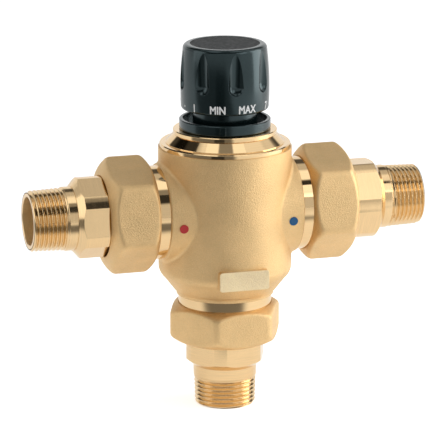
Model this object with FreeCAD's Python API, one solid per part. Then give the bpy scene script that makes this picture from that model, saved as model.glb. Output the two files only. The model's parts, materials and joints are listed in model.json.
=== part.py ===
import FreeCAD, Part
import math
import os

# Three-way temperature mixing valve, DN 25, with union nuts and R 1 male tailpieces.
# Millimetres. The model is drawn about the valve centre, where the axes of the three
# ports meet, and is lifted at export so that the outlet's end face lies on z = 0.
# +Z runs up the control spindle, -X is the hot inlet, +X the cold inlet, -Y the front.

V = FreeCAD.Vector
UP = V(0, 0, 1)

# ---- casting ----
REACH = 107.5                # valve centre to the end face of each tailpiece
BARREL_R = 35.4
BARREL_TOP = 33.8            # machined face that carries the bonnet's flange
SHOULDER_Z = 31.0            # depth at which the barrel starts to round into its taper
SHOULDER_R = 7.0
SHOULDER_TURN = 50.0         # degrees through which the shoulder rounds
TAPER_FOOT = 43.4            # depth at which the taper meets the outlet boss
TAPER_FLARE, TAPER_WAIST = 0.55, 0.12   # radius left over the boss at the taper's foot and half way down
BOSS_R = 25.9                # port boss at its end
BOSS_FLARE = 1.6             # extra radius of a side boss where it meets the barrel
BOSS_BLEND = 2.2             # fillet between side boss and barrel
BLEND_SHARE = 0.28           # the most that this fillet takes of the step from boss to barrel
BOSS_EDGE = 1.0
NECK_R = 24.9                # turned ring between casting and union nut
NECK_SINK = 0.3              # how far the neck runs into the nut's counterbore
CAST_WALL = 4.2
PLATE_W, PLATE_H = 27.0, 10.4
PLATE_PROUD = 1.1
PLATE_DEPTH = 31.3           # centre of the plate below the valve centre
PLATE_CORNER = 1.4
DOT_R, DOT_THICK, DOT_SINK = 2.35, 0.7, 0.35
DOT_FROM_AXIS = 30.0
DOT_DROP_DEG = 7.5
OVERCUT = 1.0                # how far a cutter runs past the face that it opens
TINY = 1e-6

# ---- unions ----
SPIGOT_R = 23.9              # G 1 1/2 thread, major radius
THREAD_GAP = 0.03            # radial play between screwed cylinders
SLIDE_GAP = 0.05             # radial play between sliding cylinders
GASKET_T = 2.0
TAIL_FLANGE_R, TAIL_FLANGE_T = 22.3, 3.6
NUT_AF = 55.0
NUT_CORNER_R = 4.5           # cast rounding of the nut's corners
NUT_CROWN_R = 31.1           # radius of the rounded corners, where the end tapers start
NUT_OUTER_R, NUT_OUTER_TAPER = 22.2, 6.4
NUT_INNER_R, NUT_INNER_TAPER = 25.2, 4.9
NUT_LIP_T = 5.4
NUT_BULGE = 0.9              # how far the end tapers swell beyond a straight cone
NUT_TAPER_TOP = 1.2          # the end tapers' profile starts this far outside the corners
NUT_COUNTERBORE = 0.6
TAIL_AF = 40.0
TAIL_TURNED_R = 21.4         # turned-off corners of the tailpiece's hexagon
TAIL_LIP_PLAY = 0.15
COLLAR_R = 16.95
PIPE_R = 16.62               # R 1 taper thread, major radius at the gauge plane
PIPE_CHAMFER = 1.3
BORE_R = 12.75
HEX_CHAMFER, HEX_FOOT = 3.3, 0.6          # length of the turned chamfer, and its step to the collar

PORTS = {
    # name: where the casting ends, where the nut starts, nut length, thread, plain collar,
    # turn of the nut's flats and of the tailpiece's flats about the port's axis
    "hot": dict(boss=36.6, nut=41.9, nut_len=26.2, thread=18.6, collar=4.7, nut_turn=10.5, hex_turn=4.3),
    "cold": dict(boss=36.6, nut=41.9, nut_len=26.2, thread=18.6, collar=4.7, nut_turn=-11.0, hex_turn=-31.1),
    "outlet": dict(boss=46.2, nut=51.4, nut_len=21.4, thread=15.7, collar=6.3, nut_turn=-5.3, hex_turn=-7.4),
}

# ---- check valves in the inlet tailpieces ----
CHECK_R, CHECK_LEN = 12.7, 19.0
CHECK_RIM_R, CHECK_RIM_T = 14.5, 1.6
CHECK_WALL = 1.6
CHECK_SEAT_R = 9.2
POPPET_R, POPPET_T = 10.2, 1.6
POPPET_DOME = 1.8
POPPET_FLAT_R, POPPET_TIP_R = 7.65, 3.57
POPPET_STEM_R, POPPET_STEM_SHORT = 1.9, 0.4
CHECK_SEAT_T = 2.4           # depth of the lip that the poppet closes against
CHECK_GUIDE_R, CHECK_GUIDE_LEN = 3.8, 5.0
CHECK_ARMS, CHECK_ARM_W, CHECK_ARM_T = 3, 1.8, 2.4
CHECK_SPRING_R, CHECK_WIRE_R, CHECK_TURNS = 5.0, 0.4, 5

# ---- mixing chamber and shutter ----
GUIDE_R = 20.0               # bore of the casting's dividing wall, in which the shutter slides
WEB_HALF = 4.0               # half the thickness of the dividing wall
CHAMBER_DEPTH = 24.0         # chambers reach this far above and below the valve centre
SHUTTER_HALF = 11.0
SHUTTER_WALL = 2.8
SEAT_GAP = 2.0               # lift from mid position to either seat
SEAT_WALL = 2.9
SEAT_FOOT = 3.0
OUTLET_BORE_R = 16.4
PASSAGE_R = 15.5             # waterway inside a side port
PASSAGE_KNEE = 37.2          # where the round bore starts to rise or fall
PASSAGE_STEP = 0.5           # the sloping part starts this much smaller than the bore
PASSAGE_SILL = 1.0           # the waterway's mouth lies this far off the dividing wall
MOUTH_X = 24.0               # where the waterway ends, inside the chamber
KIDNEY_H = 14.0              # height of the waterway where it enters its chamber
KIDNEY_W = 34.0
HUB_R, HUB_T = 10.6, 4.0
HUB_TOP = -2.0
ARMS, ARM_W, ARM_FIRST = 4, 3.2, 45.0
ORING_R = 0.8
GROOVE_ROOM = 1.3            # half height of an O-ring's groove, in wire radii
BULB_R, BULB_FOOT, BULB_CHAMFER = 8.0, -34.0, 1.5
COLLET_R, COLLET_T, COLLET_CONE = 10.2, 3.0, 1.0
NOSE_R, NOSE_TOP, NOSE_CHAMFER = 6.0, 9.0, 0.8
LEDGE_R, LEDGE_T = 12.2, 2.0   # inner edge and thickness of the ledge that carries the spring
SEAT_CHAMFER, SEAT_INNER_CHAMFER = 1.0, 0.8
PISTON_R = 2.5
PISTON_FOOT, GUIDE_FOOT = -0.5, -3.0
SPRING_WIRE_R = 0.75
RETURN_SPRING_R = 14.4
RETURN_TURNS = 4.5
COIL_STEPS = 18              # short lengths of wire in one turn of a spring

# ---- adjusting gear in the bonnet ----
CARRIER_AF, CARRIER_CORNER_R = 19.0, 0.6
CARRIER_FOOT, CARRIER_TOP = 13.6, 33.0
CARRIER_BORE_R, CARRIER_ROOF = 7.6, 27.0
GUIDE_CORNER_R = 0.5         # corner of the bonnet's hexagonal guide
STEM_THREAD_R = 5.0
STEM_FOOT = 27.6
STEM_COLLAR_R, STEM_COLLAR_FOOT, STEM_COLLAR_T = 9.0, 36.0, 2.4
STEM_R = 5.0
STEM_SHOULDER = 1.0          # plain length between circlip and spline
STEM_RING_ROOM = 1.2
STEM_RING_R = 0.65
STEM_RING_Z = (40.6, 44.2)
CLIP_R, CLIP_T, CLIP_GROOVE, CLIP_MOUTH = 7.2, 1.0, 0.9, 3.0
SPLINE_TEETH, SPLINE_DEPTH = 12, 0.7
SPLINE_LEN = 11.0
CUP_FLANGE_R, CUP_FOOT, CUP_FLANGE_Z, CUP_FLANGE_T, CUP_TOP = 7.4, 12.8, 16.0, 2.6, 21.4
CUP_STEM_R, CUP_SOCKET = 4.6, 4.0
OVERLOAD_SPRING_R, OVERLOAD_WIRE_R, OVERLOAD_TURNS = 6.35, 0.6, 4.0
RING_T, RING_GROOVE, RING_PLAY = 1.2, 0.7, 0.5   # snap ring that holds the cup in its carrier

# ---- bonnet ----
FLANGE_R, FLANGE_T, FLANGE_EDGE = 34.7, 2.4, 0.5
CONE_FOOT_R, CONE_TOP_R = 31.6, 27.1
BONNET_RING_R, BONNET_RING_T = 27.6, 2.1
BONNET_RING_Z = 41.4
CONE_STEP, RING_RELIEF = 0.4, 0.3         # short cylinders at the cone's foot and under the ring
NECK_SLEEVE_R, NECK_SLEEVE_TOP = 9.0, 47.0
BONNET_THREAD_R = 28.9
BONNET_THREAD_CHAMFER = 1.0
BONNET_SEAL_R = 1.1
SEAL_ROOM = 1.1              # height of the seal's groove over its thickness
CHAMBER_BONNET_Z = 23.4      # underside of the bonnet's threaded part
SEAT_RECESS, SEAT_EDGE = 2.5, 0.6

# ---- index ring and knob ----
INDEX_R, INDEX_H, INDEX_WALL, INDEX_FLOOR = 24.2, 5.5, 1.8, 1.6
INDEX_EDGE, INDEX_RIM_EDGE = 0.5, 0.4
INDEX_RIDGE_W, INDEX_RIDGE_PROUD, INDEX_AZ = 3.0, 0.35, -19.0
SKIRT_Z = 54.3               # lower edge of the knob's skirt
KNOB_TOP = 89.0
KNOB_FOOT_R, KNOB_BELLY_R, KNOB_CROWN_R = 23.1, 23.5, 21.9
KNOB_BELLY_Z = 66.0
CROWN_ROUND = 1.8
SKIRT_ROUND = 1.2
KNOB_WALL = 3.8
TOP_WEB = 3.6
SLEEVE_R, SLEEVE_WALL, SLEEVE_FOOT = 17.0, 2.0, 46.4
HUB_TUBE_R, HUB_CLEAR = 8.2, 0.5   # the hub ends this far above the spline's foot
SCREW_WEB = 2.6
CAP_R, CAP_T = 18.4, 1.5
CAP_SINK, CAP_EDGE = 0.1, 0.25
PLUG_WALL, PLUG_LEN, PLUG_GAP = 1.0, 2.4, 0.6    # ring under the cap that plugs the screw's well
ROOT_LAP = 0.5               # sleeve and hub run this far into the web
FLUTES, FLUTE_R = 8, 5.0
FLUTE_FOOT, FLUTE_HEAD = 65.0, 84.0
FLUTE_DEEP, FLUTE_SHALLOW = 2.45, 0.5
FLUTE_BOWL = 0.85            # height of the bowl's centre over the flute's foot, in flute radii
FLUTE_RUN = 1.6              # the cutter's length over the flute's
FLUTE_AZ = -2.0              # azimuth of the flute nearest the front, from -Y towards +X
SCREW_R, SCREW_HEAD_R, SCREW_HEAD_T, SCREW_LEN = 2.0, 3.8, 2.6, 9.0
SCREW_ROUND, SCREW_HOLE_GAP = 0.7, 0.1
DRIVE_L, DRIVE_W, DRIVE_DEPTH = 5.0, 0.9, 1.3    # cross recess in the screw's head


def outline(steps):
    """A closed wire in the XZ plane. A step is (r, z), or (mid, end) for an arc."""
    edges, here = [], V(steps[0][0], 0, steps[0][1])
    start = here
    for step in steps[1:]:
        if isinstance(step[0], tuple):
            mid, end = (V(p[0], 0, p[1]) for p in step)
            edges.append(Part.Arc(here, mid, end).toShape())
        else:
            end = V(step[0], 0, step[1])
            edges.append(Part.makeLine(here, end))
        here = end
    edges.append(Part.makeLine(here, start))
    return Part.Wire(edges)


def turned(steps):
    """A solid of revolution about Z from a half profile."""
    return Part.Face(outline(steps)).revolve(V(0, 0, 0), UP, 360)


def tube(outer, inner, z0, z1):
    return turned([(inner, z0), (outer, z0), (outer, z1), (inner, z1)])


def rod(radius, z0, z1):
    return Part.makeCylinder(radius, z1 - z0, V(0, 0, z0))


def hexagon(flats, z0, z1, turn=0.0, corner=0.0):
    """A hexagonal prism with two flats facing +Y and -Y before it is turned."""
    tip = flats / 2 / math.cos(math.pi / 6)
    corners = [math.radians(60 * i) for i in range(7)]
    points = [V(tip * math.cos(angle), tip * math.sin(angle), z0) for angle in corners]
    prism = Part.Face(Part.makePolygon(points)).extrude(V(0, 0, z1 - z0))
    if corner:
        upright = [e for e in prism.Edges if abs(e.Vertexes[0].Z - e.Vertexes[1].Z) > TINY]
        prism = prism.makeFillet(corner, upright)
    prism.rotate(V(0, 0, 0), UP, turn)
    return prism


def ring(major, minor, z):
    return Part.makeTorus(major, minor, V(0, 0, z), UP)


def coil(radius, wire, z0, z1, turns):
    """A compression spring between two planes: a helical chain of short six-sided lengths of wire."""
    steps = int(round(turns * COIL_STEPS))
    rise = (z1 - z0 - 2 * wire) / steps
    rows = []
    for i in range(steps + 1):
        angle = 2 * math.pi * i / COIL_STEPS
        row = []
        for side in range(6):
            tilt = math.radians(30 + 60 * side)
            out = radius + wire * math.cos(tilt)
            up = z0 + wire + rise * i + wire * math.sin(tilt)
            row.append(V(out * math.cos(angle), out * math.sin(angle), up))
        rows.append(row)
    faces = [Part.Face(Part.makePolygon(row + row[:1])) for row in (rows[0], rows[-1])]
    for near, far in zip(rows, rows[1:]):
        for side in range(6):
            a, b, c, d = near[side], near[side - 1], far[side - 1], far[side]
            faces.append(Part.Face(Part.makePolygon([a, b, c, a])))
            faces.append(Part.Face(Part.makePolygon([a, c, d, a])))
    solid = Part.Solid(Part.Shell(faces))
    return solid if solid.Volume > 0 else solid.reversed()


def aim(shape, port):
    """Turn a shape drawn along +Z so that it runs out along the port's axis."""
    axis, angle = {"hot": (V(0, 1, 0), -90), "cold": (V(0, 1, 0), 90), "outlet": (V(1, 0, 0), 180)}[port]
    turned_shape = shape.copy()
    turned_shape.rotate(V(0, 0, 0), axis, angle)
    return turned_shape


def around(shape, count, first=0.0):
    """Copies of a shape turned evenly about Z."""
    copies = []
    for i in range(count):
        copy = shape.copy()
        copy.rotate(V(0, 0, 0), UP, first + 360.0 * i / count)
        copies.append(copy)
    return copies


def port_face(port):
    """Distance from the valve centre to the end of the port's threaded spigot."""
    p = PORTS[port]
    return p["nut"] + p["nut_len"] - NUT_LIP_T - TAIL_FLANGE_T - GASKET_T


# ---- casting ----
def barrel():
    def shoulder(turn):
        angle = math.radians(turn)
        return BARREL_R - SHOULDER_R * (1 - math.cos(angle)), -SHOULDER_Z - SHOULDER_R * math.sin(angle)

    foot = PORTS["outlet"]["boss"]
    blend = foot - TAPER_FOOT
    return turned([
        (0, BARREL_TOP), (BARREL_R, BARREL_TOP), (BARREL_R, -SHOULDER_Z),
        (shoulder(SHOULDER_TURN / 2), shoulder(SHOULDER_TURN)),
        (BOSS_R + blend * TAPER_FLARE, -TAPER_FOOT),
        ((BOSS_R + blend * TAPER_WAIST, -TAPER_FOOT - blend / 2), (BOSS_R, -foot)),
        (0, -foot),
    ])


def side_boss(port):
    end = PORTS[port]["boss"]
    cone = Part.makeCone(BOSS_R + BOSS_FLARE, BOSS_R, end - GUIDE_R, V(0, 0, GUIDE_R), UP)
    rims = [e for e in cone.Edges if abs(e.CenterOfMass.z - end) < TINY and e.Length > BOSS_R]
    return aim(cone.makeFillet(BOSS_EDGE, rims), port)


def spigot(port):
    p = PORTS[port]
    neck = rod(NECK_R, p["boss"] - BOSS_EDGE * 2, p["nut"] + NECK_SINK)
    return aim(neck.fuse(rod(SPIGOT_R, p["boss"], port_face(port))), port)


def plate():
    corner = V(-PLATE_W / 2, -BARREL_R - PLATE_PROUD, -PLATE_DEPTH - PLATE_H / 2)
    block = Part.makeBox(PLATE_W, BARREL_R, PLATE_H, corner)
    upright = [e for e in block.Edges if abs(e.Vertexes[0].Y - e.Vertexes[1].Y) > TINY]
    return block.makeFillet(PLATE_CORNER, upright)


def waterway(port):
    """Side port: a round bore that rises or falls into its own chamber behind the wall."""
    side = {"hot": -1, "cold": 1}[port]
    bore = aim(rod(PASSAGE_R, PASSAGE_KNEE, port_face(port) + OVERCUT), port)
    mouth = V(side * MOUTH_X, 0, side * (WEB_HALF + KIDNEY_H / 2 + PASSAGE_SILL))
    start = V(side * (PASSAGE_KNEE + OVERCUT), 0, 0)
    near = Part.Wire(Part.makeCircle(PASSAGE_R - PASSAGE_STEP, start, V(1, 0, 0)))
    oval = Part.Ellipse(mouth, KIDNEY_W / 2, KIDNEY_H / 2).toShape()
    oval.rotate(mouth, V(1, 0, 0), 90)
    oval.rotate(mouth, UP, 90)
    return bore.fuse(Part.makeLoft([near, Part.Wire(oval)], True, True))


def chambers():
    inner = BARREL_R - CAST_WALL
    cut = rod(inner, WEB_HALF, CHAMBER_DEPTH)
    cut = cut.fuse(rod(inner, -CHAMBER_DEPTH, -WEB_HALF))
    cut = cut.fuse(rod(GUIDE_R + SLIDE_GAP, -CHAMBER_DEPTH, CHAMBER_DEPTH))
    cut = cut.fuse(rod(GUIDE_R, -CHAMBER_DEPTH - SEAT_FOOT, 0))
    cut = cut.fuse(rod(OUTLET_BORE_R, -port_face("outlet") - OVERCUT, 0))
    return cut.fuse(rod(BONNET_THREAD_R + THREAD_GAP, 0, BARREL_TOP + OVERCUT))


def dot(port):
    """The coloured disc let into the front of a side boss."""
    disc = rod(DOT_R, -DOT_SINK, DOT_THICK - DOT_SINK)
    taper = BOSS_FLARE * (PORTS[port]["boss"] - DOT_FROM_AXIS) / (PORTS[port]["boss"] - GUIDE_R)
    disc.translate(V(0, 0, BOSS_R + taper))
    disc.rotate(V(0, 0, 0), V(1, 0, 0), 90 + DOT_DROP_DEG)
    disc.translate(V({"hot": -1, "cold": 1}[port] * DOT_FROM_AXIS, 0, 0))
    return disc


def valve_body():
    body = barrel()
    for port in ("hot", "cold"):
        body = body.fuse(side_boss(port))
    body = body.removeSplitter()
    seams = []
    for edge in body.Edges:
        middle = edge.valueAt((edge.FirstParameter + edge.LastParameter) / 2)
        on_barrel = abs(math.hypot(middle.x, middle.y) - BARREL_R) < TINY
        if on_barrel and abs(middle.z) < BOSS_R + BOSS_FLARE and edge.Length > BOSS_R / 2:
            seams.append(edge)
    blend = min(BOSS_BLEND, BLEND_SHARE * (BARREL_R - BOSS_R - BOSS_FLARE))
    body = body.makeFillet(blend, seams)
    body = body.fuse(plate())
    for port in PORTS:
        body = body.fuse(spigot(port))
    body = body.cut(chambers())
    for port in ("hot", "cold"):
        body = body.cut(waterway(port)).cut(dot(port))
    return body


# ---- unions ----
def union_nut(port):
    p = PORTS[port]
    start, end = p["nut"], p["nut"] + p["nut_len"]
    crown = NUT_CROWN_R + NUT_TAPER_TOP
    hull = turned([
        (0, start), (NUT_INNER_R, start),
        (((NUT_INNER_R + crown) / 2 + NUT_BULGE / 2, start + NUT_INNER_TAPER / 2 - NUT_BULGE / 2),
         (crown, start + NUT_INNER_TAPER)),
        (crown, end - NUT_OUTER_TAPER),
        (((NUT_OUTER_R + crown) / 2 + NUT_BULGE, end - NUT_OUTER_TAPER / 2 + NUT_BULGE * 0.6),
         (NUT_OUTER_R, end)),
        (0, end),
    ])
    nut = hexagon(NUT_AF, start, end, p["nut_turn"], NUT_CORNER_R).common(hull)
    nut = nut.cut(rod(SPIGOT_R + THREAD_GAP, start + NUT_COUNTERBORE, end - NUT_LIP_T))
    nut = nut.cut(rod(NECK_R + SLIDE_GAP, start - OVERCUT, start + NUT_COUNTERBORE))
    nut = nut.cut(rod(TAIL_TURNED_R + TAIL_LIP_PLAY, start, end + OVERCUT))
    return aim(nut, port)


def tailpiece(port):
    p = PORTS[port]
    face = port_face(port) + GASKET_T
    thread = REACH - p["thread"]
    hex_end = thread - p["collar"]
    profile = turned([
        (BORE_R, face), (TAIL_FLANGE_R, face), (TAIL_FLANGE_R, face + TAIL_FLANGE_T),
        (TAIL_TURNED_R, face + TAIL_FLANGE_T), (TAIL_TURNED_R, hex_end - HEX_CHAMFER),
        (COLLAR_R + HEX_FOOT, hex_end), (COLLAR_R, hex_end), (COLLAR_R, thread), (PIPE_R, thread),
        (PIPE_R, REACH - PIPE_CHAMFER), (PIPE_R - PIPE_CHAMFER, REACH), (BORE_R, REACH),
    ])
    flats = hexagon(TAIL_AF, face + TAIL_FLANGE_T, hex_end, p["hex_turn"])
    keep = flats.fuse(rod(TAIL_FLANGE_R, face, face + TAIL_FLANGE_T)).fuse(rod(COLLAR_R, hex_end, REACH))
    tail = profile.common(keep)
    if port != "outlet":
        tail = tail.cut(rod(CHECK_RIM_R + THREAD_GAP, face - OVERCUT, face + CHECK_RIM_T))
    return aim(tail, port)


def gasket(port):
    face = port_face(port)
    return aim(tube(TAIL_FLANGE_R, CHECK_R, face, face + GASKET_T), port)


# ---- check valve: the water runs towards the valve centre ----
def check_face(port):
    return port_face(port) + GASKET_T


def check_seat_z(port):
    """Plane of the poppet's seat, near the cartridge's outer end."""
    return check_face(port) + CHECK_LEN - CHECK_SEAT_T


def check_body(port):
    face, seat = check_face(port), check_seat_z(port)
    end = face + CHECK_LEN
    shell = turned([
        (CHECK_R - CHECK_WALL, face), (CHECK_RIM_R, face), (CHECK_RIM_R, face + CHECK_RIM_T),
        (CHECK_R, face + CHECK_RIM_T), (CHECK_R, end), (CHECK_SEAT_R, end), (CHECK_SEAT_R, seat),
        (CHECK_R - CHECK_WALL, seat),
    ])
    arm = Part.makeBox(CHECK_R - CHECK_WALL / 2, CHECK_ARM_W, CHECK_ARM_T, V(0, -CHECK_ARM_W / 2, face))
    for limb in around(arm, CHECK_ARMS):
        shell = shell.fuse(limb)
    shell = shell.fuse(rod(CHECK_GUIDE_R, face, face + CHECK_GUIDE_LEN))
    hole = rod(POPPET_STEM_R + SLIDE_GAP, face - OVERCUT, face + CHECK_GUIDE_LEN + OVERCUT)
    return aim(shell.cut(hole), port)


def check_poppet(port):
    face, seat = check_face(port), check_seat_z(port)
    foot = face + POPPET_STEM_SHORT
    dome = turned([
        (0, foot), (POPPET_STEM_R, foot), (POPPET_STEM_R, seat - POPPET_T),
        (POPPET_R, seat - POPPET_T), (POPPET_R, seat), (POPPET_FLAT_R, seat),
        (POPPET_TIP_R, seat + POPPET_DOME), (0, seat + POPPET_DOME),
    ])
    return aim(dome, port)


def check_spring(port):
    face, seat = check_face(port), check_seat_z(port)
    return aim(coil(CHECK_SPRING_R, CHECK_WIRE_R, face + CHECK_ARM_T, seat - POPPET_T, CHECK_TURNS), port)


# ---- shutter and thermostatic element ----
def shutter():
    sleeve = tube(GUIDE_R, GUIDE_R - SHUTTER_WALL, -SHUTTER_HALF, SHUTTER_HALF)
    hub = tube(HUB_R, BULB_R + SLIDE_GAP, HUB_TOP - HUB_T, HUB_TOP)
    inner, outer = HUB_R - SHUTTER_WALL / 2, GUIDE_R - SHUTTER_WALL / 2
    arm = Part.makeBox(outer - inner, ARM_W, HUB_T, V(inner, -ARM_W / 2, HUB_TOP - HUB_T))
    for limb in around(arm, ARMS, ARM_FIRST):
        hub = hub.fuse(limb)
    room = ORING_R * GROOVE_ROOM
    groove = tube(GUIDE_R + OVERCUT, GUIDE_R - 2 * ORING_R, -room, room)
    return sleeve.fuse(hub).cut(groove)


def thermostatic_element():
    shape = turned([
        (0, BULB_FOOT), (BULB_R - BULB_CHAMFER, BULB_FOOT), (BULB_R, BULB_FOOT + BULB_CHAMFER),
        (BULB_R, HUB_TOP), (COLLET_R, HUB_TOP), (COLLET_R, HUB_TOP + COLLET_T),
        (NOSE_R, HUB_TOP + COLLET_T + COLLET_CONE), (NOSE_R, NOSE_TOP - NOSE_CHAMFER),
        (NOSE_R - NOSE_CHAMFER, NOSE_TOP), (0, NOSE_TOP),
    ])
    return shape.cut(rod(PISTON_R + SLIDE_GAP, GUIDE_FOOT, NOSE_TOP + OVERCUT))


def lower_seat():
    foot, top = -CHAMBER_DEPTH - SEAT_FOOT, -SHUTTER_HALF - SEAT_GAP
    inner = GUIDE_R - SEAT_WALL
    return turned([
        (LEDGE_R, foot), (GUIDE_R, foot), (GUIDE_R, top - SEAT_CHAMFER), (GUIDE_R - SEAT_CHAMFER, top),
        (inner + SEAT_INNER_CHAMFER, top), (inner, top - SEAT_INNER_CHAMFER), (inner, foot + LEDGE_T),
        (LEDGE_R, foot + LEDGE_T),
    ])


def return_spring():
    foot = -CHAMBER_DEPTH - SEAT_FOOT + LEDGE_T
    return coil(RETURN_SPRING_R, SPRING_WIRE_R, foot, HUB_TOP - HUB_T, RETURN_TURNS)


# ---- adjusting gear ----
def spring_carrier():
    body = hexagon(CARRIER_AF, CARRIER_FOOT, CARRIER_TOP, 0, CARRIER_CORNER_R)
    body = body.cut(rod(CARRIER_BORE_R, CARRIER_FOOT - OVERCUT, CARRIER_ROOF))
    body = body.cut(rod(CARRIER_BORE_R + RING_GROOVE, CUP_FLANGE_Z - RING_T, CUP_FLANGE_Z))
    return body.cut(rod(STEM_THREAD_R + THREAD_GAP, CARRIER_ROOF - OVERCUT, CARRIER_TOP + OVERCUT))


def carrier_ring():
    return tube(CARRIER_BORE_R + RING_GROOVE, CUP_STEM_R + RING_PLAY, CUP_FLANGE_Z - RING_T, CUP_FLANGE_Z)


def pressure_cup():
    shape = turned([
        (0, CUP_FOOT), (CUP_STEM_R, CUP_FOOT), (CUP_STEM_R, CUP_FLANGE_Z), (CUP_FLANGE_R, CUP_FLANGE_Z),
        (CUP_FLANGE_R, CUP_FLANGE_Z + CUP_FLANGE_T), (CUP_STEM_R, CUP_FLANGE_Z + CUP_FLANGE_T),
        (CUP_STEM_R, CUP_TOP), (0, CUP_TOP),
    ])
    return shape.cut(rod(PISTON_R, CUP_FOOT - OVERCUT, CUP_FOOT + CUP_SOCKET))


def overload_spring():
    return coil(OVERLOAD_SPRING_R, OVERLOAD_WIRE_R, CUP_FLANGE_Z + CUP_FLANGE_T, CARRIER_ROOF, OVERLOAD_TURNS)


def element_piston():
    return rod(PISTON_R, PISTON_FOOT, CUP_FOOT + CUP_SOCKET)


def spline(z0, z1, grow=0.0):
    """A toothed shaft end, or with grow the hole that it fits."""
    points = []
    for i in range(SPLINE_TEETH * 2 + 1):
        radius = STEM_R + grow - (SPLINE_DEPTH if i % 2 else 0.0)
        angle = math.pi * i / SPLINE_TEETH
        points.append(V(radius * math.cos(angle), radius * math.sin(angle), z0))
    points[-1] = points[0]
    return Part.Face(Part.makePolygon(points)).extrude(V(0, 0, z1 - z0))


def spline_foot():
    return NECK_SLEEVE_TOP + CLIP_T + STEM_SHOULDER


def spline_top():
    return spline_foot() + SPLINE_LEN


def adjusting_spindle():
    collar_top = STEM_COLLAR_FOOT + STEM_COLLAR_T
    stem = rod(STEM_THREAD_R, STEM_FOOT, STEM_COLLAR_FOOT)
    stem = stem.fuse(rod(STEM_COLLAR_R, STEM_COLLAR_FOOT, collar_top))
    stem = stem.fuse(rod(STEM_R, collar_top, spline_foot()))
    stem = stem.fuse(spline(spline_foot(), spline_top()))
    room = STEM_RING_R * STEM_RING_ROOM
    for z in STEM_RING_Z:
        stem = stem.cut(tube(STEM_R + OVERCUT, STEM_R - 2 * STEM_RING_R, z - room, z + room))
    stem = stem.cut(tube(STEM_R + OVERCUT, STEM_R - CLIP_GROOVE, NECK_SLEEVE_TOP, NECK_SLEEVE_TOP + CLIP_T))
    return stem.cut(rod(SCREW_R, spline_top() - SCREW_LEN, spline_top() + OVERCUT))


def spindle_circlip():
    clip = tube(CLIP_R, STEM_R - CLIP_GROOVE, NECK_SLEEVE_TOP, NECK_SLEEVE_TOP + CLIP_T)
    corner = V(0, -CLIP_MOUTH / 2, NECK_SLEEVE_TOP - CLIP_T)
    slot = Part.makeBox(CLIP_R * 2, CLIP_MOUTH, CLIP_T * 3, corner)
    return clip.cut(slot)


def knob_screw():
    base = spline_top() + SCREW_WEB
    screw = rod(SCREW_R, spline_top() - SCREW_LEN, base).fuse(rod(SCREW_HEAD_R, base, base + SCREW_HEAD_T))
    top = base + SCREW_HEAD_T
    rims = [e for e in screw.Edges if abs(e.CenterOfMass.z - top) < TINY and e.Length > SCREW_HEAD_R]
    screw = screw.makeFillet(SCREW_ROUND, rims)
    corner = V(-DRIVE_L / 2, -DRIVE_W / 2, top - DRIVE_DEPTH)
    recess = Part.makeBox(DRIVE_L, DRIVE_W, DRIVE_DEPTH + OVERCUT, corner)
    for cutter in around(recess, 4)[:2]:
        screw = screw.cut(cutter)
    return screw


# ---- bonnet, index ring, knob ----
def bonnet():
    seat_foot = SHUTTER_HALF + SEAT_GAP
    flange_top = BARREL_TOP + FLANGE_T
    ring_top = BONNET_RING_Z + BONNET_RING_T
    seal = 2 * BONNET_SEAL_R
    shape = turned([
        (0, seat_foot + SEAT_RECESS), (GUIDE_R - SEAT_WALL, seat_foot + SEAT_RECESS),
        (GUIDE_R - SEAT_WALL, seat_foot), (GUIDE_R - SEAT_EDGE, seat_foot), (GUIDE_R, seat_foot + SEAT_EDGE),
        (GUIDE_R, CHAMBER_BONNET_Z), (BONNET_THREAD_R - BONNET_THREAD_CHAMFER, CHAMBER_BONNET_Z),
        (BONNET_THREAD_R, CHAMBER_BONNET_Z + BONNET_THREAD_CHAMFER),
        (BONNET_THREAD_R, BARREL_TOP - seal * SEAL_ROOM),
        (BONNET_THREAD_R - seal, BARREL_TOP - seal * SEAL_ROOM), (BONNET_THREAD_R - seal, BARREL_TOP),
        (FLANGE_R, BARREL_TOP), (FLANGE_R, flange_top - FLANGE_EDGE), (FLANGE_R - FLANGE_EDGE, flange_top),
        (CONE_FOOT_R, flange_top), (CONE_FOOT_R, flange_top + CONE_STEP),
        (CONE_TOP_R, BONNET_RING_Z - RING_RELIEF), (CONE_TOP_R, BONNET_RING_Z),
        (BONNET_RING_R, BONNET_RING_Z), (BONNET_RING_R, ring_top - CONE_STEP),
        (BONNET_RING_R - CONE_STEP, ring_top), (NECK_SLEEVE_R, ring_top), (NECK_SLEEVE_R, NECK_SLEEVE_TOP),
        (0, NECK_SLEEVE_TOP),
    ])
    guide_top = STEM_COLLAR_FOOT + STEM_COLLAR_T
    shape = shape.cut(hexagon(CARRIER_AF + 2 * SLIDE_GAP, seat_foot, guide_top, 0, GUIDE_CORNER_R))
    return shape.cut(rod(STEM_R + SLIDE_GAP, STEM_COLLAR_FOOT, NECK_SLEEVE_TOP + OVERCUT))


def index_ring():
    foot = BONNET_RING_Z + BONNET_RING_T
    inner = NECK_SLEEVE_R + SLIDE_GAP
    shape = turned([
        (inner, foot), (INDEX_R - INDEX_EDGE, foot), (INDEX_R, foot + INDEX_EDGE),
        (INDEX_R, foot + INDEX_H - INDEX_RIM_EDGE), (INDEX_R - INDEX_RIM_EDGE, foot + INDEX_H),
        (INDEX_R - INDEX_WALL, foot + INDEX_H),
        (INDEX_R - INDEX_WALL, foot + INDEX_FLOOR), (inner, foot + INDEX_FLOOR),
    ])
    corner = V(-INDEX_RIDGE_W / 2, -INDEX_R - INDEX_RIDGE_PROUD, foot + INDEX_EDGE)
    ridge = Part.makeBox(INDEX_RIDGE_W, INDEX_WALL, INDEX_H - 2 * INDEX_EDGE, corner)
    ridge.rotate(V(0, 0, 0), UP, INDEX_AZ)
    return shape.fuse(ridge)


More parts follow.
